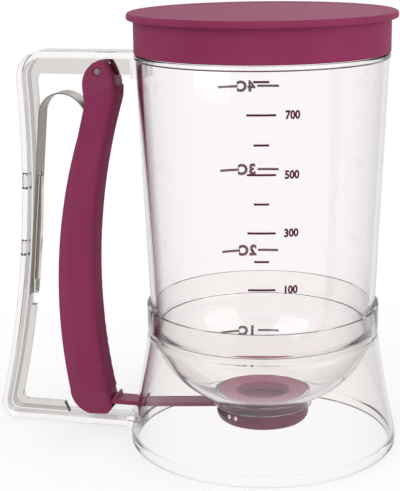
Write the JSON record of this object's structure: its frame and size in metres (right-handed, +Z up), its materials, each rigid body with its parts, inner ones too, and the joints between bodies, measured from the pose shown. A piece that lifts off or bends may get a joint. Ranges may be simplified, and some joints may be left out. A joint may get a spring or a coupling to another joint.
{
  "type": "pancake batter dispenser",
  "caption": "Clear measuring cup in a flared stand with a squeeze-trigger handle that slides a gate open under the cup; press-on lid and twist-off valve cap.",
  "frame": {"origin": "centre of the foot ring, on the table, on the cup's axis", "axes": "+Z up the cup's axis, -X towards the handle, +Y away from someone who sees the handle on the left"},
  "size_m": [0.1879, 0.1216, 0.195],
  "materials": {
    "clear_plastic": "clear, glossy",
    "maroon_plastic": "satin moulded",
    "soft_grip": "matt, soft to the touch",
    "steel": "cold-rolled strip and pin",
    "seal_silicone": "soft, matt, slightly translucent",
    "valve_plastic": "satin moulded"
  },
  "bodies": {
    "root": {"cup": "clear_plastic", "stand": "clear_plastic", "handle": "clear_plastic", "leaf_spring": "steel", "outlet_seal": "seal_silicone"},
    "lid_body": {"lid": "maroon_plastic"},
    "trigger_body": {"trigger": "maroon_plastic", "trigger_sleeve": "soft_grip", "pivot_pin": "steel"},
    "gate_body": {"gate_slide": "maroon_plastic"},
    "cap_body": {"valve_cap": "valve_plastic"}
  },
  "joints": [
    {"name": "trigger_squeeze", "type": "hinge", "parent": "root", "child": "trigger_body", "pos_m": [-0.0733, 0, 0.1681], "axis": [0, 1, 0], "range_deg": [0, 7], "stiffness_Nm_per_rad": 3, "springref_deg": -5.73, "deforming": ["leaf_spring"]},
    {"name": "gate_pull", "type": "slide", "parent": "root", "child": "gate_body", "axis": [-1, 0, 0], "range_m": [0, 0.0192]},
    {"name": "valve_cap_twist", "type": "hinge", "parent": "root", "child": "cap_body", "pos_m": [0, 0, 0.015], "axis": [0, 0, 1], "range_deg": [0, 25]},
    {"name": "lid_lift", "type": "slide", "parent": "root", "child": "lid_body", "axis": [0, 0, 1], "range_m": [0, 0.045]}
  ],
  "couplings": [
    {"joint": "gate_pull", "follows": "trigger_squeeze", "m_per_rad": 0.15688}
  ]
}
